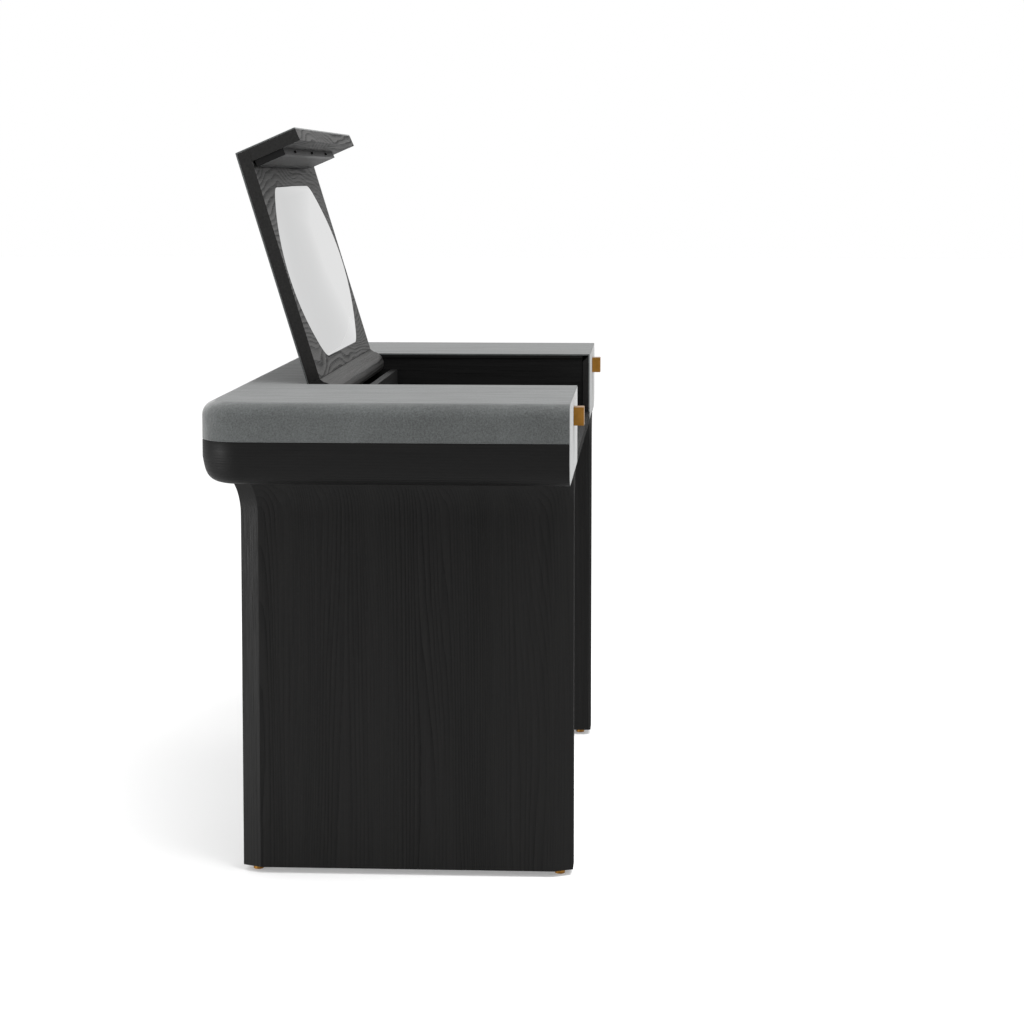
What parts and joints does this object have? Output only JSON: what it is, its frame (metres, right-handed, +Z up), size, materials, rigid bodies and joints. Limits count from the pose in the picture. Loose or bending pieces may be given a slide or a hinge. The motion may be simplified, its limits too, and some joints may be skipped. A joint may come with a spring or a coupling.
{
  "type": "vanity table with mirror",
  "caption": "Leather-topped vanity desk on slab legs, with a flip-up mirror lid over a tray and leather-fronted drawers either side.",
  "frame": {"origin": "on the floor, under the middle of the bounding box with the lid open and the pulls on", "axes": "+X along the table to the user's right, -Y towards the user, +Z up"},
  "size_m": [1.42, 0.566, 1.1596],
  "materials": {
    "leather": "matt grey nubuck leather",
    "stained_ash": "black-stained open-grain ash",
    "inner_board": "black-stained board inside the case",
    "brass": "brushed brass",
    "steel": "plain steel",
    "mirror": "silvered glass",
    "black_metal": "dark satin paint",
    "opal": "smoked light diffuser, unlit"
  },
  "bodies": {
    "root": {"bay_wall_left": "inner_board", "bay_wall_right": "inner_board", "bottom_panel": "stained_ash", "foot_front_left": "brass", "foot_front_right": "brass", "foot_rear_left": "brass", "foot_rear_right": "brass", "hinge_bush_left": "brass", "hinge_bush_right": "brass", "leather_top": "leather", "leg_left": "stained_ash", "leg_plate_left": "steel", "leg_plate_right": "steel", "leg_right": "stained_ash", "lower_shell": "stained_ash", "partition_left": "stained_ash", "partition_right": "stained_ash", "rear_rail": "stained_ash", "runner_fixed_inner_left": "steel", "runner_fixed_inner_right": "steel", "runner_fixed_outer_left": "steel", "runner_fixed_outer_right": "steel", "top_board": "inner_board", "tray_floor": "inner_board", "tray_rail": "stained_ash", "wall_core": "inner_board"},
    "lid": {"hinge_pin_left": "steel", "hinge_pin_right": "steel", "hinge_rail": "stained_ash", "lid_fascia": "stained_ash", "lid_leather": "leather", "lid_panel": "stained_ash", "light_box": "black_metal", "light_diffuser": "opal", "light_screw_left": "steel", "light_screw_middle": "steel", "light_screw_right": "steel", "mirror_glass": "mirror"},
    "drawer_left": {"drawer_back_left": "inner_board", "drawer_bottom_left": "inner_board", "drawer_facing_left": "leather", "drawer_front_left": "stained_ash", "drawer_side_inner_left": "inner_board", "drawer_side_outer_left": "inner_board", "pull_left": "brass", "runner_moving_inner_left": "steel", "runner_moving_outer_left": "steel"},
    "drawer_right": {"drawer_back_right": "inner_board", "drawer_bottom_right": "inner_board", "drawer_facing_right": "leather", "drawer_front_right": "stained_ash", "drawer_side_inner_right": "inner_board", "drawer_side_outer_right": "inner_board", "pull_right": "brass", "runner_moving_inner_right": "steel", "runner_moving_outer_right": "steel"}
  },
  "joints": [
    {"name": "lid_hinge", "type": "hinge", "parent": "root", "child": "lid", "pos_m": [0, 0.1425, 0.732], "axis": [1, 0, 0], "range_deg": [0, 107]},
    {"name": "drawer_slide_left", "type": "slide", "parent": "root", "child": "drawer_left", "axis": [0, -1, 0], "range_m": [0, 0.3]},
    {"name": "drawer_slide_right", "type": "slide", "parent": "root", "child": "drawer_right", "axis": [0, -1, 0], "range_m": [0, 0.3]}
  ]
}
